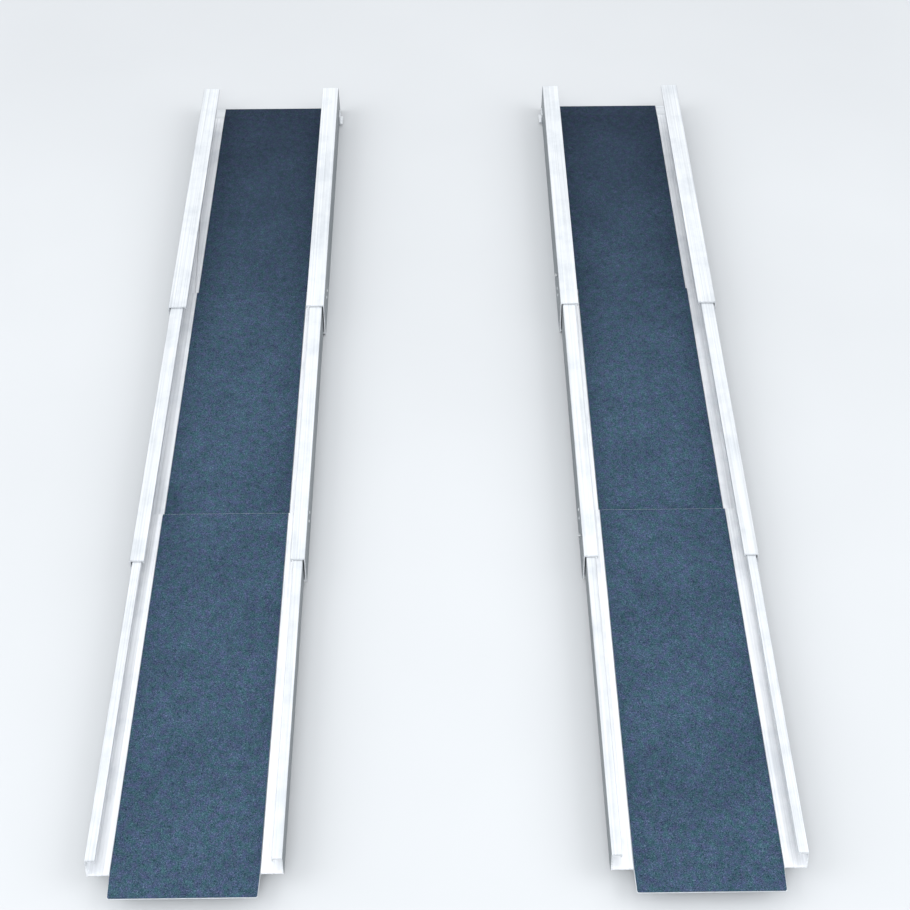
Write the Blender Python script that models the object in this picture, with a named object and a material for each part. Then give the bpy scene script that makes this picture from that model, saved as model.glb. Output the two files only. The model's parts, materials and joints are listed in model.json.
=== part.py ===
"""A pair of three-section telescopic loading ramps, drawn out and lying flat on a floor.

X runs across the ramps, +Y runs uphill to the end that rests on the vehicle, +Z is up.
Each ramp is three channel sections. The middle one slides inside the outer one, and the
inner one, whose lip lies on the ground, slides inside the middle one. All sizes in metres.
"""

from math import cos, pi, sin, tan, radians

import bmesh
import bpy
from mathutils import Vector

for leftover in list(bpy.data.objects):
    bpy.data.objects.remove(leftover, do_unlink=True)

# ---------------------------------------------------------------- driving dimensions
TRACK_SPACING = 0.680  # centre to centre of the two ramps
HALF_WIDTH = 0.135  # centre to outer face of the outer section
NEST_STEP = 0.0036  # each section is this much narrower than the next, on each side
RAIL_TOP = 0.057  # top of the outer section's flange
WALL = 0.0020
FLANGE = 0.0025  # flange thickness
FLANGE_GAP = 0.0008  # running clearance between two nested flanges
FLANGE_EDGES = (0.1036, 0.1093, 0.1137)  # centre to the inner edge of each section's flange
RETURN_DROP = 0.0050  # turned-down edge along each flange
RETURN = 0.0018

FIT = 0.0003  # gap kept between pieces that touch
TRACK_TOP = 0.0080  # running track beside the plank, above the section's base
TRACK_SKIN = 0.0020
PLANK_HALF = 0.0979
LEDGE = 0.0100  # shelf that carries the plank's edge
LEDGE_HEIGHT = 0.0016
SKIN = 0.0022  # top skin of the plank
RIB = 0.0018
RIB_COUNT = 10
GRIT = 0.0008
GRIT_INSET = 0.0005  # bare edge round each sheet
GRIT_TOP_INSET = (0.0005, 0.0006, 0.0010)  # the same at each sheet's upper end
LEVEL = 0.0095  # each section's base above the base of the one it slides in

END_SLOPE = 1 / 3  # the rails' lower ends lean uphill by this much of their height
BASE_ENDS = (-0.0190, -0.5497, -1.0152)  # lower end of each section's base
RAIL_TOPS = (0.6204, 0.1050, -0.3980)  # upper end of each section's rails
PLANK_TOPS = (0.5880, 0.0740, -0.4290)  # upper end of each section's plank
BASE_CORNER = 0.006
END_RELIEF = 0.002  # planks stop this far short of the rails' lower ends

SILL_LIP_END = 0.6204
SILL_LIP_TILT = radians(3)
SILL_LIP = 0.0030
GROUND_LIP_END = -1.0476
GROUND_LIP_TAPER = 0.0012
LIP_CORNER = 0.0025
LIP_STUB = 0.0016  # rib left under the ground lip where it starts
LIP_THINNING = 0.0010  # skin taken off from below where it ends

SHOE = 0.0010  # thickness of glide shoes and stops, which lie in the gap between two walls
SHOE_LENGTH = 0.030
SHOE_HEIGHT = 0.020
SHOE_BASE = 0.0065  # above the sliding section's base

BUTTON_AT = (0.085, -0.485)  # along Y, one on the outer and one on the middle section
BUTTON_UP = (0.042, 0.036)
BUTTON_RADIUS = 0.0036
SHANK_RADIUS = 0.0020
BUTTON_STAND = 0.0024
BUTTON_HEAD = 0.0016
BUTTON_CROWN = ((0.0008, 1.0), (0.0002, 0.75), (0.0, 0.35))  # below the top, share of the radius
SPRING_WIRE = 0.0002
SPRING_TURNS = 2
LATCH = 0.0005
LATCH_LENGTH = 0.036
LATCH_WIDTH = 0.009

LOCK_SIDE = -1  # the locks are in the left-hand walls of both ramps

LUG_AT = 0.583
LUG_BASE = 0.004
LUG_LENGTH = 0.024
LUG_LEG = 0.0065
LUG_HEIGHT = 0.018
LUG_PLATE = 0.0024
LUG_HOLE = 0.0026

HEEL_AT = -0.985
HEEL_LENGTH = 0.018
HEEL_HALF = 0.112
HEEL_DRAFT = 0.002

SECTIONS = ("outer", "middle", "inner")
SIDES = {"left": -1, "right": 1}
MIDDLE = (RAIL_TOPS[0] + GROUND_LIP_END) / 2  # half-way along, which goes to the origin
CUT_MARGIN = 0.010  # how far a cutter reaches past what it trims


# ---------------------------------------------------------------- materials
def material(name, colour, roughness, metallic):
    made = bpy.data.materials.new(name)
    made.use_nodes = True
    shader = made.node_tree.nodes["Principled BSDF"]
    shader.inputs["Base Color"].default_value = (*colour, 1)
    shader.inputs["Roughness"].default_value = roughness
    shader.inputs["Metallic"].default_value = metallic
    return made


ALUMINIUM = material("mill_aluminium", (0.78, 0.80, 0.82), 0.38, 1.0)
SHEET = material("grit_sheet", (0.035, 0.050, 0.070), 0.95, 0.0)
NYLON = material("black_nylon", (0.02, 0.02, 0.02), 0.5, 0.0)
STEEL = material("zinc_steel", (0.62, 0.63, 0.64), 0.3, 1.0)
RUBBER = material("black_rubber", (0.015, 0.015, 0.015), 0.85, 0.0)


# ---------------------------------------------------------------- frames and shape helpers
def add_frame(name, parent, place=(0, 0, 0)):
    """An empty that carries what moves together."""
    frame = bpy.data.objects.new(name, None)
    bpy.context.scene.collection.objects.link(frame)
    frame.parent = parent
    frame.location = place
    return frame


def add_object(name, data, finish, frame):
    made = bpy.data.objects.new(name, data)
    bpy.context.scene.collection.objects.link(made)
    made.parent = frame
    if finish:
        data.materials.append(finish)
    return made


def prism(name, outline, axis, low, high):
    """A closed outline swept straight along X, Y or Z. The outline is in the other two axes, in order."""
    place = {
        "X": lambda a, b, t: (t, a, b),
        "Y": lambda a, b, t: (a, t, b),
        "Z": lambda a, b, t: (a, b, t),
    }[axis]
    shape = bmesh.new()
    ring = [shape.verts.new(place(a, b, low)) for a, b in outline]
    face = shape.faces.new(ring)
    swept = bmesh.ops.extrude_face_region(shape, geom=[face])
    moved = [item for item in swept["geom"] if isinstance(item, bmesh.types.BMVert)]
    bmesh.ops.translate(shape, verts=moved, vec=Vector(place(0, 0, high - low)))
    bmesh.ops.recalc_face_normals(shape, faces=shape.faces)
    mesh = bpy.data.meshes.new(name)
    shape.to_mesh(mesh)
    shape.free()
    return mesh


def rectangle(a_low, a_high, b_low, b_high):
    return [(a_low, b_low), (a_high, b_low), (a_high, b_high), (a_low, b_high)]


def arc(centre, radius, start, end, steps=4):
    """Points along a circular arc, angles in degrees."""
    angles = [radians(start + (end - start) * step / steps) for step in range(steps + 1)]
    return [(centre[0] + radius * cos(a), centre[1] + radius * sin(a)) for a in angles]


def turned(name, profile, side, segments=24):
    """A round piece turned about X from (distance out, radius) pairs, mirrored for the left side."""
    shape = bmesh.new()
    points = [shape.verts.new((out, 0, radius)) for out, radius in profile]
    for first, second in zip(points, points[1:]):
        shape.edges.new((first, second))
    bmesh.ops.spin(
        shape,
        geom=list(shape.verts) + list(shape.edges),
        cent=(0, 0, 0),
        axis=(1, 0, 0),
        angle=2 * pi,
        steps=segments,
        use_merge=True,
    )
    bmesh.ops.remove_doubles(shape, verts=shape.verts, dist=1e-6)
    bmesh.ops.scale(shape, vec=(side, 1, 1), verts=shape.verts)
    bmesh.ops.recalc_face_normals(shape, faces=shape.faces)
    mesh = bpy.data.meshes.new(name)
    shape.to_mesh(mesh)
    shape.free()
    mesh.shade_smooth()
    mesh.set_sharp_from_angle(angle=radians(35))
    return mesh


def cut(target, tool, operation="DIFFERENCE"):
    boolean = target.modifiers.new(operation.lower(), "BOOLEAN")
    boolean.operation = operation
    boolean.object = tool


def cutter(name, mesh, frame):
    made = add_object(name, mesh, None, frame)
    made.hide_render = True
    made.display_type = "WIRE"
    return made


# ---------------------------------------------------------------- sizes worked out per section
def half_width(section):
    return HALF_WIDTH - NEST_STEP * section


def base_height(section):
    return LEVEL * section


def flange_top(section):
    return RAIL_TOP - (FLANGE + FLANGE_GAP) * section


# ---------------------------------------------------------------- the pieces
def rail_outline(section):
    """Cross-section of a right-hand rail: ledge, running track, outer wall, flange, turned-down edge."""
    outer = half_width(section)
    inner = outer - WALL
    base = base_height(section)
    top = flange_top(section)
    track = base + TRACK_TOP
    under = track - TRACK_SKIN
    edge = FLANGE_EDGES[section]
    face = PLANK_HALF + FIT
    middle = (face + outer) / 2
    fold = WALL
    return [
        (face - LEDGE, base),
        (face + WALL, base),
        (face + WALL, under),
        (middle - WALL / 2, under),
        (middle - WALL / 2, base),
        (middle + WALL / 2, base),
        (middle + WALL / 2, under),
        (inner, under),
        (inner, base),
        (outer, base),
        *arc((outer - fold, top - fold), fold, 0, 90),
        *arc((edge + RETURN / 2, top - RETURN / 2), RETURN / 2, 90, 180, 2),
        (edge, top - RETURN_DROP),
        (edge + RETURN, top - RETURN_DROP),
        (edge + RETURN, top - FLANGE),
        (inner, top - FLANGE),
        (inner, track),
        (face, track),
        (face, base + LEDGE_HEIGHT),
        (face - LEDGE, base + LEDGE_HEIGHT),
    ]


def lower_end_cutter(section, frame):
    """Trims a section's rails to a leaning lower end with a rounded heel."""
    end = BASE_ENDS[section]
    base = base_height(section)
    top = flange_top(section) + CUT_MARGIN
    outline = [
        (end - CUT_MARGIN, base - CUT_MARGIN),
        (end + BASE_CORNER, base - CUT_MARGIN),
        *arc((end + BASE_CORNER, base + BASE_CORNER), BASE_CORNER, 270, 180, 5),
        (end + END_SLOPE * (top - base), top),
        (end - CUT_MARGIN, top),
    ]
    reach = HALF_WIDTH + CUT_MARGIN
    name = f"cut_{frame.name}_end"
    return cutter(name, prism(name, outline, "X", -reach, reach), frame)


def track_end_cutter(section, frame):
    """Ends the running tracks level with the plank, where the side walls run on."""
    base = base_height(section)
    span = rectangle(
        PLANK_TOPS[section],
        RAIL_TOPS[section] + CUT_MARGIN,
        base - CUT_MARGIN,
        base + TRACK_TOP + TRACK_SKIN / 2,
    )
    reach = half_width(section) - WALL - FIT
    name = f"cut_{frame.name}_track"
    return cutter(name, prism(name, span, "X", -reach, reach), frame)


def hole_cutter(name, centre, radius, frame):
    """A round hole through a side wall."""
    ring = arc((centre[1], centre[2]), radius, 0, 345, 23)
    mesh = prism(name, ring, "X", centre[0] - 2 * WALL, centre[0] + 2 * WALL)
    return cutter(name, mesh, frame)


def add_rails(section, frame):
    """A section's two side rails, by side."""
    ends = lower_end_cutter(section, frame), track_end_cutter(section, frame)
    rails = {}
    for side, sign in SIDES.items():
        node = f"{frame.name}_rail_{side}"
        outline = [(sign * x, z) for x, z in rail_outline(section)]
        mesh = prism(node, outline, "Y", BASE_ENDS[section] - CUT_MARGIN / 2, RAIL_TOPS[section])
        rails[side] = add_object(node, mesh, ALUMINIUM, frame)
        for end in ends:
            cut(rails[side], end)
    return rails


def plank_outline(section):
    """Cross-section of a deck plank: a flat skin over evenly spaced ribs."""
    top = base_height(section) + TRACK_TOP
    under = top - SKIN
    foot = base_height(section) + LEDGE_HEIGHT + FIT
    pitch = (2 * PLANK_HALF - RIB) / (RIB_COUNT - 1)
    points = [(PLANK_HALF, top), (-PLANK_HALF, top)]
    for rib in range(RIB_COUNT):
        left = rib * pitch - PLANK_HALF
        if rib:
            points.append((left, under))
        points.append((left, foot))
        points.append((left + RIB, foot))
        if rib < RIB_COUNT - 1:
            points.append((left + RIB, under))
    return points


def lip_plan(half, low, high):
    """Outline from above of a strip whose lower end narrows a little and has rounded corners."""
    narrow = half - GROUND_LIP_TAPER
    corner = LIP_CORNER
    shoulder = BASE_ENDS[2]
    return [
        (-half, high),
        (-half, shoulder),
        *arc((corner - narrow, low + corner), corner, 180, 270),
        *arc((narrow - corner, low + corner), corner, 270, 360),
        (half, shoulder),
        (half, high),
    ]


def add_plank(section, frame):
    node = f"{frame.name}_plank"
    low = BASE_ENDS[section] + END_RELIEF
    mesh = prism(node, plank_outline(section), "Y", low, PLANK_TOPS[section])
    add_object(node, mesh, ALUMINIUM, frame)


def add_lip_plank(section, frame):
    """The inner section's plank, which runs on past the rails as a thinner ground lip."""
    node = f"{frame.name}_plank"
    base = base_height(section)
    beyond = GROUND_LIP_END - CUT_MARGIN
    mesh = prism(node, plank_outline(section), "Y", beyond, PLANK_TOPS[section])
    plank = add_object(node, mesh, ALUMINIUM, frame)

    plan = lip_plan(PLANK_HALF, GROUND_LIP_END, PLANK_TOPS[section] + CUT_MARGIN)
    name = f"cut_{node}_plan"
    mesh = prism(name, plan, "Z", base - CUT_MARGIN, base + 2 * CUT_MARGIN)
    cut(plank, cutter(name, mesh, frame), "INTERSECT")

    under = base + TRACK_TOP - SKIN
    relief = [
        (beyond, base - CUT_MARGIN),
        (BASE_ENDS[section] + END_RELIEF, base - CUT_MARGIN),
        (BASE_ENDS[section] + END_RELIEF, under - LIP_STUB),
        (beyond, under + LIP_THINNING),
    ]
    name = f"cut_{node}_under"
    cut(plank, cutter(name, prism(name, relief, "X", -HALF_WIDTH, HALF_WIDTH), frame))


def add_grit(section, frame):
    """The non-slip sheet. The outer one follows the bent sill lip, the inner one the ground lip."""
    node = f"{frame.name}_grit"
    half = PLANK_HALF - GRIT_INSET
    low = base_height(section) + TRACK_TOP + FIT
    high = low + GRIT
    near = BASE_ENDS[section] + END_RELIEF + GRIT_INSET
    far = PLANK_TOPS[section] - GRIT_TOP_INSET[section]
    if section == 2:
        plan = lip_plan(half, GROUND_LIP_END + GRIT_INSET, far)
        mesh = prism(node, plan, "Z", low, high)
    elif section == 1:
        mesh = prism(node, rectangle(-half, half, near, far), "Z", low, high)
    else:
        bend = PLANK_TOPS[section] + FIT
        end = SILL_LIP_END - GRIT_TOP_INSET[section]
        drop = (end - bend) * tan(SILL_LIP_TILT)
        lower = [(near, low), (bend, low), (end, low - drop)]
        upper = [(end, high - drop), (bend, high), (near, high)]
        mesh = prism(node, lower + upper, "X", -half, half)
    add_object(node, mesh, SHEET, frame)


def add_sill_lip(frame):
    """Plate across the vehicle end, sloping down from the plank so that it lies on a level sill."""
    start = PLANK_TOPS[0] + FIT
    drop = (SILL_LIP_END - start) * tan(SILL_LIP_TILT)
    side_view = [
        (start, TRACK_TOP - SILL_LIP),
        (SILL_LIP_END - FIT, TRACK_TOP - SILL_LIP - drop),
        (SILL_LIP_END, TRACK_TOP - drop),
        (start, TRACK_TOP),
    ]
    reach = HALF_WIDTH - WALL - FIT
    node = f"{frame.name}_sill_lip"
    add_object(node, prism(node, side_view, "X", -reach, reach), ALUMINIUM, frame)


def add_lugs(frame):
    """Angle lugs on the outside of the vehicle end, with a hole for a tie."""
    foot = HALF_WIDTH + FIT
    low, high = LUG_BASE, LUG_BASE + LUG_HEIGHT
    angle = [
        (foot, low),
        (foot + LUG_LEG, low),
        (foot + LUG_LEG, low + LUG_PLATE),
        (foot + LUG_PLATE, low + LUG_PLATE),
        (foot + LUG_PLATE, high),
        (foot, high),
    ]
    for side, sign in SIDES.items():
        node = f"{frame.name}_lug_{side}"
        outline = [(sign * x, z) for x, z in angle]
        mesh = prism(node, outline, "Y", LUG_AT - LUG_LENGTH / 2, LUG_AT + LUG_LENGTH / 2)
        lug = add_object(node, mesh, ALUMINIUM, frame)
        hole_at = (sign * (foot + LUG_PLATE / 2), LUG_AT, (low + LUG_PLATE + high) / 2)
        cut(lug, hole_cutter(f"cut_{node}", hole_at, LUG_HOLE, frame))


def add_shoes_and_stops(sliding, frame, outer_frame):
    """Glide shoes at a sliding section's upper end, and the stops that catch them at full length."""
    low = base_height(sliding) + SHOE_BASE
    high = low + SHOE_HEIGHT
    face = half_width(sliding) + FIT
    shoe_low = RAIL_TOPS[sliding] - SHOE_LENGTH
    stop_low = shoe_low - FIT - SHOE_LENGTH
    for side, sign in SIDES.items():
        reach = sorted((sign * face, sign * (face + SHOE)))
        node = f"{frame.name}_shoe_{side}"
        span = rectangle(shoe_low, shoe_low + SHOE_LENGTH, low, high)
        add_object(node, prism(node, span, "X", *reach), NYLON, frame)
        node = f"{outer_frame.name}_stop_{side}"
        span = rectangle(stop_low, stop_low + SHOE_LENGTH, low, high)
        add_object(node, prism(node, span, "X", *reach), STEEL, outer_frame)


def add_button(joint, place, frame):
    """Push button through the outer of two walls, on its own frame, with its return spring."""
    head = BUTTON_STAND + BUTTON_HEAD
    profile = [
        (-WALL, 0),
        (-WALL, SHANK_RADIUS),
        (BUTTON_STAND, SHANK_RADIUS),
        (BUTTON_STAND, BUTTON_RADIUS),
        *[(head - below, BUTTON_RADIUS * share) for below, share in BUTTON_CROWN],
        (head, 0),
    ]
    node = f"{frame.name}_{joint}_button"
    press = add_frame(f"{node}_press", frame, place)
    add_object(node, turned(node, profile, LOCK_SIDE), STEEL, press)
    spring = add_object(f"{node}_spring", spring_wire(f"{node}_spring"), STEEL, frame)
    spring.location = place


def spring_wire(name):
    """Small coil spring between the wall and the button's head, as a swept wire."""
    curve = bpy.data.curves.new(name, "CURVE")
    curve.dimensions = "3D"
    curve.bevel_depth = SPRING_WIRE
    curve.bevel_resolution = 1
    curve.use_fill_caps = True
    spline = curve.splines.new("POLY")
    steps = 16 * SPRING_TURNS
    spline.points.add(steps)
    start = SPRING_WIRE + FIT
    rise = BUTTON_STAND - 2 * start
    radius = (SHANK_RADIUS + BUTTON_RADIUS) / 2
    for step, point in enumerate(spline.points):
        angle = 2 * pi * SPRING_TURNS * step / steps
        out = start + rise * step / steps
        point.co = (LOCK_SIDE * out, radius * cos(angle), radius * sin(angle), 1)
    return curve


def add_latch(joint, sliding, along, up, frame):
    """Latch strip inside the sliding wall, with a stud that fills the hole behind the button."""
    wall = half_width(sliding)
    face = wall - WALL - FIT
    plan = [
        *arc((along, up), LATCH_WIDTH / 2, 90, -90, 8),
        (along - LATCH_LENGTH, up - LATCH_WIDTH / 2),
        (along - LATCH_LENGTH, up + LATCH_WIDTH / 2),
    ]
    node = f"{frame.name}_{joint}_latch"
    reach = sorted((LOCK_SIDE * face, LOCK_SIDE * (face - LATCH)))
    latch = add_object(node, prism(node, plan, "X", *reach), STEEL, frame)
    stud_reach = sorted((LOCK_SIDE * (face - LATCH / 2), LOCK_SIDE * wall))
    stud = prism("stud", arc((along, up), SHANK_RADIUS, 0, 345, 23), "X", *stud_reach)
    cut(latch, cutter(f"cut_{node}_stud", stud, frame), "UNION")


def add_lock(joint, outer, frames, rails):
    """The lock between two nested sections, in their left-hand walls."""
    along, up = BUTTON_AT[outer], BUTTON_UP[outer]
    sliding = outer + 1
    for section, name in ((outer, "button"), (sliding, "latch")):
        at = (LOCK_SIDE * half_width(section), along, up)
        frame = frames[section]
        hole = hole_cutter(f"cut_{frame.name}_{joint}_{name}", at, SHANK_RADIUS + FIT, frame)
        cut(rails[section]["left"], hole)
    add_button(joint, (LOCK_SIDE * half_width(outer), along, up), frames[outer])
    add_latch(joint, sliding, along, up, frames[sliding])


def add_heel(frame):
    """Rubber heel bar under the ground end, down to the floor."""
    top = base_height(2) - FIT
    near, far = HEEL_AT - HEEL_LENGTH / 2, HEEL_AT + HEEL_LENGTH / 2
    side_view = [
        (near + HEEL_DRAFT, 0),
        (far - HEEL_DRAFT, 0),
        (far, top),
        (near, top),
    ]
    node = f"{frame.name}_heel_bar"
    add_object(node, prism(node, side_view, "X", -HEEL_HALF, HEEL_HALF), RUBBER, frame)


def add_ramp(ramp, centre_x):
    frames = []
    parent = add_frame(f"{ramp}_ramp", None, (centre_x, -MIDDLE, 0))
    for name in SECTIONS:
        parent = add_frame(f"{ramp}_{name}", parent)
        frames.append(parent)
    rails = [add_rails(section, frame) for section, frame in enumerate(frames)]
    for section, frame in enumerate(frames):
        add_grit(section, frame)
    outer, middle, inner = frames
    add_plank(0, outer)
    add_plank(1, middle)
    add_lip_plank(2, inner)
    add_sill_lip(outer)
    add_lugs(outer)
    add_shoes_and_stops(1, middle, outer)
    add_shoes_and_stops(2, inner, middle)
    add_lock("upper", 0, frames, rails)
    add_lock("lower", 1, frames, rails)
    add_heel(inner)


add_ramp("left", -TRACK_SPACING / 2)
add_ramp("right", TRACK_SPACING / 2)
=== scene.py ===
"""Looks for a pair of three-section telescopic loading ramps that lie drawn out on a pale floor.

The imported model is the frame. This script gives its pieces their materials and rounded edges, adds
the rivets and the lock springs, and makes the camera, the floor and the lights.
X runs across the ramps, +Y runs uphill to the vehicle end, +Z is up. All sizes in metres.
"""

import json
from math import cos, pi, radians, sin

import bmesh
import bpy
from mathutils import Matrix, Vector


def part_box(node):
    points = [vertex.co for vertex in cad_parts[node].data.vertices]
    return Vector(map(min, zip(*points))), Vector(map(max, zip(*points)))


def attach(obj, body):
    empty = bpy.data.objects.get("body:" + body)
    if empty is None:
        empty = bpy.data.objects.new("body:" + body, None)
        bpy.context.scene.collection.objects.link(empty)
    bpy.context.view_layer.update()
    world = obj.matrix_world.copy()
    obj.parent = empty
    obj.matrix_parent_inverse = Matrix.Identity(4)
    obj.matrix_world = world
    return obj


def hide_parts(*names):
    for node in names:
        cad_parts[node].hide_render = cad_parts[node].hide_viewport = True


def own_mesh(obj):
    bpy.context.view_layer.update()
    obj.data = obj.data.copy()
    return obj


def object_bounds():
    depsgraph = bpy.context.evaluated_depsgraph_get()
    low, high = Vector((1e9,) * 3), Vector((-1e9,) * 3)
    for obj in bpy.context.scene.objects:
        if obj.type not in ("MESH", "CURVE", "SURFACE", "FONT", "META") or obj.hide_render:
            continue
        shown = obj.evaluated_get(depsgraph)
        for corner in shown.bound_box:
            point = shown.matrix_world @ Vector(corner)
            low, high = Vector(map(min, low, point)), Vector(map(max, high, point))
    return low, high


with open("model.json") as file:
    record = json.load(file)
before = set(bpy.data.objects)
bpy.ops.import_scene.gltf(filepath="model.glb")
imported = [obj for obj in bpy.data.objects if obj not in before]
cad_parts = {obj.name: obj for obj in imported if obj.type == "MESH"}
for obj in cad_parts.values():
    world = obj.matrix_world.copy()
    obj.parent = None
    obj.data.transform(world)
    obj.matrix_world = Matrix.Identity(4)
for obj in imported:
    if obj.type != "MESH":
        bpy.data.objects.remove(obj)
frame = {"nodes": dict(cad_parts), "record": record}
cad_low, cad_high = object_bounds()
nodes = frame["nodes"]

# ---------------------------------------------------------------- driving values
RAMPS = ("left", "right")
SIDES = {"left": -1, "right": 1}
LOCKS = {"upper": "outer", "lower": "middle"}  # each lock and the section whose wall its button is in

CAMERA_PLACE = (0.0047, -1.5630, 1.7959)
CAMERA_DOWN = radians(50.44)  # below the horizon
CAMERA_HEADING = radians(0.53)  # from +Y towards +X
CAMERA_ROLL = radians(-0.18)
CAMERA_LENS, CAMERA_FRAME = 56.4, 36.0  # focal length and frame width, both in millimetres
CAMERA_REACH = (0.05, 100)  # nearest and furthest thing it sees

FLOOR_HALF = 20.0
FLOOR_DROP = 0.0002  # below the feet, so that no two faces lie in one plane

EDGE_WIDTHS = {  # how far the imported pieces' edges are rounded, by material slot
    "rail_aluminium": 0.00030,
    "plank_aluminium": 0.00022,
    "plate_aluminium": 0.00022,
    "rubber": 0.0012,
}
SMALL_EDGE = 0.00018  # the same on all other slots
EDGE_ANGLE = radians(24)  # edges that turn by more than this are rounded
EDGE_SEGMENTS = 2
WELD_DISTANCE = 0.00001
FLAT_ANGLE = radians(1)
SMOOTH_ANGLE = radians(40)  # added pieces are shaded smooth across edges that turn by less than this

RIVET_RADIUS = 0.0026
RIVET_HEIGHT = 0.0009
RIVET_SINK = 0.0002
RIVET_SPREAD = 0.0085  # from the middle of the piece that the two rivets hold
RIVET_STEPS = 6  # along the dome, from its rim to its crown
RIVET_SEGMENTS = 32
LUG_GAP = 0.0003  # between a lug and the side wall
LUG_PLATE = 0.0024  # thickness of the lug's upright leg
LUG_RIVET_UP = LUG_PLATE / 2  # half the foot's thickness: midway up the leg, beside the tie hole

SPRING_WIRE = 0.00022  # radius
SPRING_TURNS = 2.5
SPRING_STEPS = 80  # along the wire
WIRE_SIDES = 10

ALUMINIUM_METALLIC = 0.50  # the rest is the matt oxide film
FLANGE_TONE = (0.75, 0.77, 0.79)
TRACK_PAINTED_LIGHT_TONE = (0.97, 0.98, 1.0)  # painted light: lighter than the flange, standing in for light in the channel under it
TRACK_UP, FLANGE_UP = 0.030, 0.042  # heights between which one tone turns into the other
WALL_PAINTED_SHADE_TONE = (0.21, 0.235, 0.25)  # outer side walls, darker as painted shade
PLANK_TONE = (0.76, 0.79, 0.82)
PLATE_TONE = (0.80, 0.82, 0.84)
RAIL_ROUGHNESS, PLANK_ROUGHNESS, PLATE_ROUGHNESS = 0.42, 0.40, 0.36
PAINTED_SHADE_FROM, PAINTED_SHADE_TO = 0.05, 0.80  # along Y: sheets are painted darker from one to the other, as painted shade towards the vehicle end
FLOOR_TONES = (0.55, 0.56, 0.57), (0.58, 0.59, 0.60)

# each light: place, the point that it faces, width and height, power
LIGHTS = {
    "key": ((-0.3, -2.4, 2.9), (0, -0.3, 0), (1.8, 1.8), 44),
    "left_fill": ((-3.2, -0.4, 2.6), (0, 0, 0), (2.8, 2.8), 48),
    "right_fill": ((3.2, -0.4, 2.6), (0, 0, 0), (2.8, 2.8), 48),
    "back": ((0.0, 3.4, 4.0), (0, 0, 0), (4.0, 4.0), 24),
}
LIGHT_COLOUR = (0.95, 0.98, 1.0)
HORIZON_TONE = (0.63, 0.65, 0.67)
OVERHEAD_TONE = (1.06, 1.08, 1.11)
OVERHEAD_FROM = 0.45  # height of the direction, from 0 at the horizon to 1 straight up
SKY_STRENGTH = 0.95


# ---------------------------------------------------------------- building materials
class Surface:
    """One procedural material, put together a node at a time.

    Patterns are laid out in the piece's own metres: a noise scale of 1000 gives specks of about 1 mm.
    """

    def __init__(self, name, constants):
        self.material = bpy.data.materials.new(name)
        self.material.use_nodes = True
        self.tree = self.material.node_tree
        self.shader = self.tree.nodes["Principled BSDF"]
        for socket, value in constants.items():
            self.shader.inputs[socket].default_value = value

    def node(self, kind, inputs, **settings):
        made = self.tree.nodes.new("ShaderNode" + kind)
        for setting, value in settings.items():
            setattr(made, setting, value)
        for socket, value in inputs.items():
            if isinstance(value, bpy.types.NodeSocket):
                self.tree.links.new(value, made.inputs[socket])
            else:
                made.inputs[socket].default_value = value
        return made

    def place(self, stretch=(1, 1, 1), turn=0.0):
        """The piece's own coordinates, multiplied along each axis and turned about Z."""
        own = self.node("TexCoord", {}).outputs["Object"]
        inputs = {"Vector": own, "Rotation": (0, 0, turn), "Scale": stretch}
        return self.node("Mapping", inputs).outputs[0]

    def noise(self, place, scale, detail=3.0, roughness=0.5):
        inputs = {"Vector": place, "Scale": scale, "Detail": detail, "Roughness": roughness}
        return self.node("TexNoise", inputs).outputs[0]

    def cells(self, place, scale, feature="F1"):
        """Distance from each cell's middle, and one random colour per cell."""
        made = self.node("TexVoronoi", {"Vector": place, "Scale": scale}, feature=feature)
        return made.outputs["Distance"], made.outputs["Color"]

    def remap(self, value, low, high, to_low=0.0, to_high=1.0):
        inputs = {0: value, 1: low, 2: high, 3: to_low, 4: to_high}
        return self.node("MapRange", inputs).outputs[0]

    def calculate(self, first, second, operation="ADD"):
        return self.node("Math", {0: first, 1: second}, operation=operation).outputs[0]

    def parts(self, vector):
        return self.node("SeparateXYZ", {0: vector}).outputs

    def ramp(self, value, stops):
        made = self.node("ValToRGB", {0: value})
        row = made.color_ramp.elements
        while len(row) < len(stops):
            row.new(1.0)
        for element, (position, colour) in zip(row, stops):
            element.position = position
            element.color = (*colour, 1)
        return made.outputs[0]

    def mix(self, share, first, second, blend="MIX"):
        """Colour mix. Colours given as three numbers get an alpha of 1."""
        first, second = (
            value if isinstance(value, bpy.types.NodeSocket) else (*value, 1)
            for value in (first, second)
        )
        inputs = {0: share, 6: first, 7: second}
        return self.node("Mix", inputs, data_type="RGBA", blend_type=blend).outputs[2]

    def bump(self, height, distance, strength=1.0, under=None):
        inputs = {"Height": height, "Distance": distance, "Strength": strength}
        if under:
            inputs["Normal"] = under
        return self.node("Bump", inputs).outputs[0]

    def finish(self, colour, roughness, normal=None):
        links = self.tree.links
        links.new(colour, self.shader.inputs["Base Color"])
        links.new(roughness, self.shader.inputs["Roughness"])
        if normal:
            links.new(normal, self.shader.inputs["Normal"])
        return self.material


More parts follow.
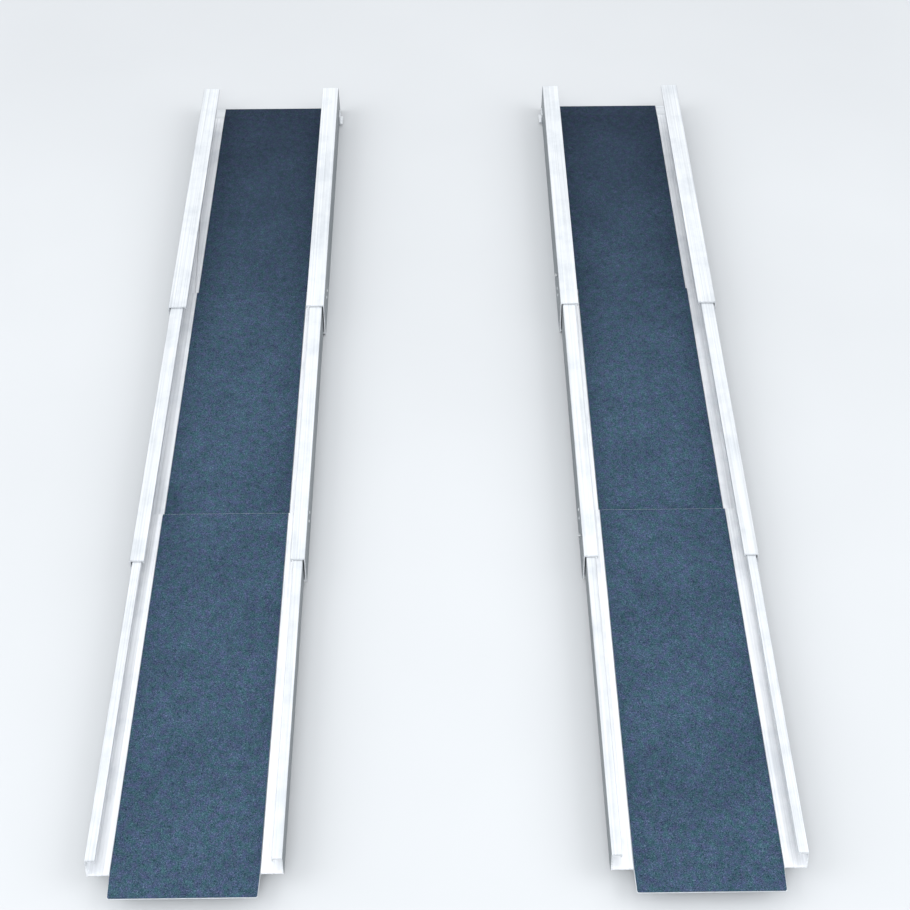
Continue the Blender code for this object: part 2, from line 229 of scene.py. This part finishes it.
def drawn_aluminium(name, tones, roughness, along, outward=1):
    """Mill-finish extrusion: fine drawing lines along one axis, handling marks and a few scratches.

    The tones are those of low faces, of high ones, and of the side that looks outward along X.
    On the rails the low faces are lighter as painted light and the outward side darker as painted
    shade.
    """
    low_tone, high_tone, side_tone = tones
    made = Surface(name, {"Metallic": ALUMINIUM_METALLIC})
    fine = {"X": (9, 2600, 2600), "Y": (2600, 9, 2600)}[along]
    broad = {"X": (3, 420, 420), "Y": (420, 3, 420)}[along]
    lines = made.noise(made.place(fine), 1.0, 2.0)
    bands = made.noise(made.place(broad), 1.0, 3.0)
    marks = made.noise(made.place(), 22.0, 5.0, 0.62)
    clouds = made.noise(made.place(), 6.0, 3.0)

    facing = made.node("NewGeometry", {}).outputs["Normal"]
    sideways = made.calculate(made.parts(facing)[0], outward, "MULTIPLY")
    # on the rails, painted shade: walls that face outward along X take the darker side tone
    wall = made.remap(sideways, 0.6, 0.95)
    # on the rails, painted light: the low track faces turn lighter than the flange tops
    height = made.remap(made.parts(made.place())[2], TRACK_UP, FLANGE_UP)
    base = made.mix(wall, made.mix(height, low_tone, high_tone), side_tone)
    shade = made.ramp(bands, [(0.30, (0.80,) * 3), (0.70, (1.0,) * 3)])
    base = made.mix(1.0, base, shade, "MULTIPLY")
    stain = made.ramp(marks, [(0.34, (0.80, 0.82, 0.84)), (0.55, (1.0,) * 3)])
    base = made.mix(0.6, base, stain, "MULTIPLY")

    rough = made.remap(lines, 0.3, 0.7, roughness - 0.06, roughness + 0.08)
    rough = made.calculate(rough, made.remap(bands, 0.3, 0.7, 0.05, -0.05))
    rough = made.calculate(rough, made.remap(clouds, 0.35, 0.65, -0.05, 0.07))
    rough = made.calculate(rough, made.remap(marks, 0.56, 0.72, 0.0, 0.10))

    normal = made.bump(lines, 0.00003)
    scratch_place = made.place((60, 2200, 60), radians(63))
    scratches = made.remap(made.noise(scratch_place, 1.0, 2.0), 0.70, 0.76)
    normal = made.bump(scratches, -0.00004, 1.0, normal)
    return made.finish(base, rough, normal)


def grit_sheet():
    """Blue-slate mineral grit on a non-slip sheet: packed grains of many dull colours, fully matt."""
    made = Surface("grit_sheet_finish", {"Metallic": 0.0, "Specular IOR Level": 0.22})
    here = made.place()
    dome, tint = made.cells(here, 1150.0)
    speck = made.noise(here, 2600.0, 2.0)
    patch = made.noise(here, 90.0, 4.0, 0.6)
    clouds = made.noise(here, 11.0, 3.0)
    hue = made.noise(made.place((1, 1, 1), radians(30)), 105.0, 3.0)

    channels = made.parts(tint)
    grain = made.ramp(
        channels[0],
        [
            (0.00, (0.012, 0.024, 0.042)),
            (0.22, (0.026, 0.060, 0.094)),
            (0.42, (0.032, 0.082, 0.104)),
            (0.60, (0.050, 0.078, 0.150)),
            (0.80, (0.062, 0.088, 0.140)),
            (1.00, (0.110, 0.165, 0.230)),
        ],
    )
    mottle = made.ramp(patch, [(0.36, (0.74, 0.78, 0.79)), (0.64, (0.96, 1.02, 1.03))])
    base = made.mix(1.0, grain, mottle, "MULTIPLY")
    cast = made.ramp(hue, [(0.38, (0.82, 1.08, 0.90)), (0.62, (1.17, 0.92, 1.11))])
    base = made.mix(1.0, base, cast, "MULTIPLY")
    wear = made.ramp(clouds, [(0.35, (0.90, 0.91, 0.92)), (0.65, (1.10, 1.09, 1.08))])
    base = made.mix(1.0, base, wear, "MULTIPLY")
    # painted shade: the grit turns darker uphill towards the vehicle end
    uphill = made.remap(made.parts(here)[1], PAINTED_SHADE_FROM, PAINTED_SHADE_TO)
    dust_and_painted_shade = made.ramp(uphill, [(0.0, (1.0, 1.0, 1.0)), (1.0, (0.43, 0.43, 0.49))])
    base = made.mix(1.0, base, dust_and_painted_shade, "MULTIPLY")

    rough = made.remap(channels[1], 0.0, 0.12, 0.45, 0.92)
    height = made.calculate(made.remap(dome, 0.0, 0.9, 1.0, 0.0), channels[2])
    normal = made.bump(height, 0.00030)
    normal = made.bump(speck, 0.00008, 1.0, normal)
    return made.finish(base, rough, normal)


def zinc_steel():
    made = Surface("zinc_steel_finish", {"Metallic": 1.0})
    spangle = made.noise(made.place(), 900.0, 3.0)
    cloud = made.noise(made.place(), 160.0, 3.0)
    base = made.ramp(cloud, [(0.35, (0.52, 0.54, 0.56)), (0.65, (0.72, 0.73, 0.72))])
    rough = made.remap(spangle, 0.3, 0.7, 0.24, 0.44)
    return made.finish(base, rough, made.bump(spangle, 0.00003))


def nylon():
    made = Surface("black_nylon_finish", {"Metallic": 0.0, "Specular IOR Level": 0.4})
    grain = made.noise(made.place(), 1500.0, 3.0)
    scuff = made.noise(made.place((20, 300, 300)), 1.0, 3.0)
    base = made.ramp(scuff, [(0.4, (0.018, 0.018, 0.020)), (0.75, (0.050, 0.050, 0.052))])
    rough = made.remap(scuff, 0.35, 0.7, 0.42, 0.62)
    return made.finish(base, rough, made.bump(grain, 0.00003))


def rubber():
    made = Surface("black_rubber_finish", {"Metallic": 0.0, "Specular IOR Level": 0.3})
    grain = made.noise(made.place(), 1100.0, 4.0)
    dust_and_painted_shade = made.noise(made.place(), 60.0, 5.0, 0.65)
    base = made.ramp(dust_and_painted_shade, [(0.45, (0.013, 0.013, 0.014)), (0.72, (0.055, 0.053, 0.050))])
    rough = made.remap(dust_and_painted_shade, 0.35, 0.7, 0.72, 0.92)
    return made.finish(base, rough, made.bump(grain, 0.00010))


def floor_finish():
    made = Surface("pale_floor", {"Metallic": 0.0, "Specular IOR Level": 0.2})
    cloud = made.noise(made.place(), 1.4, 3.0)
    base = made.ramp(cloud, list(zip((0.3, 0.7), FLOOR_TONES)))
    rough = made.remap(cloud, 0.3, 0.7, 0.75, 0.85)
    return made.finish(base, rough)


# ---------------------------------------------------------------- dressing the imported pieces
def soften(piece, width):
    """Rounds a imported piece's edges, once its triangles are joined into flat faces again."""
    weld = piece.modifiers.new("weld", "WELD")
    weld.merge_threshold = WELD_DISTANCE
    flat = piece.modifiers.new("flat", "DECIMATE")
    flat.decimate_type = "DISSOLVE"
    flat.angle_limit = FLAT_ANGLE
    edges = piece.modifiers.new("edges", "BEVEL")
    edges.width = width
    edges.segments = EDGE_SEGMENTS
    edges.limit_method = "ANGLE"
    edges.angle_limit = EDGE_ANGLE
    edges.use_clamp_overlap = True


def dress_packed_pieces(finishes):
    """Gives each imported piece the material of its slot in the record, and its edge rounding.

    Rails have a material for each side, because it has to know which way is outward.
    """
    for row in frame["record"]["subparts"]:
        piece = nodes[row["node"]]
        slot = row["material_slot"]
        side = row["node"].rsplit("_", 1)[-1]
        finish = finishes.get(f"{slot}_{side}") or finishes[slot]
        piece.data.materials.clear()
        piece.data.materials.append(finish)
        soften(piece, EDGE_WIDTHS.get(slot, SMALL_EDGE))


# ---------------------------------------------------------------- added pieces
def add_piece(name, shape, finish, body):
    """Turns a bmesh into a shown piece that rides on a body."""
    bmesh.ops.recalc_face_normals(shape, faces=shape.faces)
    mesh = bpy.data.meshes.new(name)
    shape.to_mesh(mesh)
    shape.free()
    mesh.materials.append(finish)
    mesh.shade_smooth()
    mesh.set_sharp_from_angle(angle=SMOOTH_ANGLE)
    piece = bpy.data.objects.new(name, mesh)
    bpy.context.scene.collection.objects.link(piece)
    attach(piece, body)
    return piece


def turned(shape, profile, centre, outward):
    """Adds a closed round form about an X axis: (distance out, radius) pairs, axis ends at radius 0."""
    rings = []
    for out, radius in profile:
        if radius == 0:
            rings.append([shape.verts.new(centre + Vector((outward * out, 0, 0)))])
            continue
        ring = []
        for step in range(RIVET_SEGMENTS):
            angle = 2 * pi * step / RIVET_SEGMENTS
            offset = Vector((outward * out, radius * cos(angle), radius * sin(angle)))
            ring.append(shape.verts.new(centre + offset))
        rings.append(ring)
    for near, far in zip(rings, rings[1:]):
        for step in range(RIVET_SEGMENTS):
            after = (step + 1) % RIVET_SEGMENTS
            corners = [near[step % len(near)], near[after % len(near)]]
            corners += [far[after % len(far)], far[step % len(far)]]
            shape.faces.new(dict.fromkeys(corners))


def rivet_profile():
    """Half an outline of a domed head, from its sunk base to the crown."""
    dome = [
        (RIVET_HEIGHT * sin(turn), RIVET_RADIUS * cos(turn))
        for turn in (pi / 2 * step / RIVET_STEPS for step in range(RIVET_STEPS))
    ]
    return [(-RIVET_SINK, 0), (-RIVET_SINK, RIVET_RADIUS), *dome, (RIVET_HEIGHT, 0)]


def wall_face(ramp, section, side):
    """X of the outer face of a section's side wall."""
    low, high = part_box(f"{ramp}_{section}_rail_{side}")
    return high.x if side == "right" else low.x


def middle_of(node):
    low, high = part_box(node)
    return (low + high) / 2


def add_rivets(ramp, section, held_piece, finish, out=0, up=0):
    """Two rivet heads on each side of a section, over the stop or lug that they hold.

    They stand on a face this far out from the side wall, and this far above the held piece's middle.
    """
    shape = bmesh.new()
    for side, outward in SIDES.items():
        held = middle_of(f"{ramp}_{section}_{held_piece}_{side}")
        face = wall_face(ramp, section, side) + outward * out
        for step in (-1, 1):
            centre = Vector((face, held.y + step * RIVET_SPREAD, held.z + up))
            turned(shape, rivet_profile(), centre, outward)
    name = f"{ramp}_{section}_{held_piece}_rivets"
    add_piece(name, shape, finish, f"{ramp}_{section}_section")


def coil(start, end, centre, radius):
    """A bmesh of a closed round wire, wound about an X axis from one X to another."""
    shape = bmesh.new()
    rings = []
    for step in range(SPRING_STEPS + 1):
        angle = 2 * pi * SPRING_TURNS * step / SPRING_STEPS
        outward = Vector((0, cos(angle), sin(angle)))
        along = start + (end - start) * step / SPRING_STEPS
        middle = Vector((along, centre.y, centre.z)) + outward * radius
        ring = []
        for side in range(WIRE_SIDES):
            turn = 2 * pi * side / WIRE_SIDES
            offset = outward * cos(turn) + Vector((1, 0, 0)) * sin(turn)
            ring.append(shape.verts.new(middle + offset * SPRING_WIRE))
        rings.append(ring)
    for near, far in zip(rings, rings[1:]):
        for side in range(WIRE_SIDES):
            after = (side + 1) % WIRE_SIDES
            shape.faces.new((near[side], near[after], far[after], far[side]))
    shape.faces.new(rings[0])
    shape.faces.new(rings[-1])
    return shape


def add_spring(ramp, lock, finish):
    """A smooth coil spring that stands in for the plain packed one behind its button, which is hidden.
    """
    section = LOCKS[lock]
    packed = f"{ramp}_{section}_{lock}_button_spring"
    low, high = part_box(packed)
    axis = (low + high) / 2
    radius = (high.z - low.z) / 2 - SPRING_WIRE
    shape = coil(high.x - SPRING_WIRE, low.x + SPRING_WIRE, axis, radius)
    piece = add_piece(f"{ramp}_{lock}_spring", shape, finish, f"{ramp}_{section}_section")
    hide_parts(packed)
    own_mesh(piece)


# ---------------------------------------------------------------- camera, floor and light
def add_camera():
    data = bpy.data.cameras.new("camera")
    data.lens = CAMERA_LENS
    data.sensor_width = CAMERA_FRAME
    data.clip_start, data.clip_end = CAMERA_REACH
    camera = bpy.data.objects.new("camera", data)
    bpy.context.scene.collection.objects.link(camera)
    heading = Matrix.Rotation(-CAMERA_HEADING, 4, "Z")
    tilt = Matrix.Rotation(pi / 2 - CAMERA_DOWN, 4, "X")
    roll = Matrix.Rotation(CAMERA_ROLL, 4, "Z")
    camera.matrix_world = Matrix.Translation(CAMERA_PLACE) @ heading @ tilt @ roll
    bpy.context.scene.camera = camera


def add_floor():
    shape = bmesh.new()
    corners = [(-1, -1), (1, -1), (1, 1), (-1, 1)]
    level = cad_low.z - FLOOR_DROP
    shape.faces.new([shape.verts.new((x * FLOOR_HALF, y * FLOOR_HALF, level)) for x, y in corners])
    mesh = bpy.data.meshes.new("floor")
    shape.to_mesh(mesh)
    shape.free()
    mesh.materials.append(floor_finish())
    floor = bpy.data.objects.new("floor", mesh)
    bpy.context.scene.collection.objects.link(floor)


def add_light(name, place, aim, size, power):
    """A soft rectangular light that faces a point."""
    data = bpy.data.lights.new(name, "AREA")
    data.shape = "RECTANGLE"
    data.size, data.size_y = size
    data.energy = power
    data.color = LIGHT_COLOUR
    light = bpy.data.objects.new(name, data)
    bpy.context.scene.collection.objects.link(light)
    light.location = place
    light.rotation_euler = (Vector(aim) - Vector(place)).to_track_quat("-Z", "Y").to_euler()


def add_world():
    """Even pale surroundings, brighter overhead than at the horizon."""
    world = bpy.data.worlds.new("studio")
    world.use_nodes = True
    tree = world.node_tree
    background = tree.nodes["Background"]
    background.inputs["Strength"].default_value = SKY_STRENGTH
    direction = tree.nodes.new("ShaderNodeTexCoord").outputs["Generated"]
    split = tree.nodes.new("ShaderNodeSeparateXYZ")
    sky = tree.nodes.new("ShaderNodeValToRGB")
    low, high = sky.color_ramp.elements
    low.position, high.position = 0.0, OVERHEAD_FROM
    low.color = (*HORIZON_TONE, 1)
    high.color = (*OVERHEAD_TONE, 1)
    tree.links.new(direction, split.inputs[0])
    tree.links.new(split.outputs[2], sky.inputs[0])
    tree.links.new(sky.outputs[0], background.inputs["Color"])
    bpy.context.scene.world = world


def light_the_scene():
    for name, (place, aim, size, power) in LIGHTS.items():
        add_light(name, place, aim, size, power)
    bpy.context.scene.view_settings.view_transform = "Standard"


# ---------------------------------------------------------------- putting it together
add_camera()
finishes = {
    "plank_aluminium": drawn_aluminium("plank_finish", [PLANK_TONE] * 3, PLANK_ROUGHNESS, "Y"),
    "plate_aluminium": drawn_aluminium("plate_finish", [PLATE_TONE] * 3, PLATE_ROUGHNESS, "X"),
    "grit_sheet": grit_sheet(),
    "nylon": nylon(),
    "steel": zinc_steel(),
    "rubber": rubber(),
}
rail_tones = (TRACK_PAINTED_LIGHT_TONE, FLANGE_TONE, WALL_PAINTED_SHADE_TONE)
for side, outward in SIDES.items():
    rail = drawn_aluminium(f"{side}_rail_finish", rail_tones, RAIL_ROUGHNESS, "Y", outward)
    finishes[f"rail_aluminium_{side}"] = rail
dress_packed_pieces(finishes)
plate = finishes["plate_aluminium"]
for ramp in RAMPS:
    add_rivets(ramp, "outer", "stop", plate)
    add_rivets(ramp, "middle", "stop", plate)
    add_rivets(ramp, "outer", "lug", plate, LUG_GAP + LUG_PLATE, LUG_RIVET_UP)
    for lock in LOCKS:
        add_spring(ramp, lock, finishes["steel"])
add_floor()
add_world()
light_the_scene()
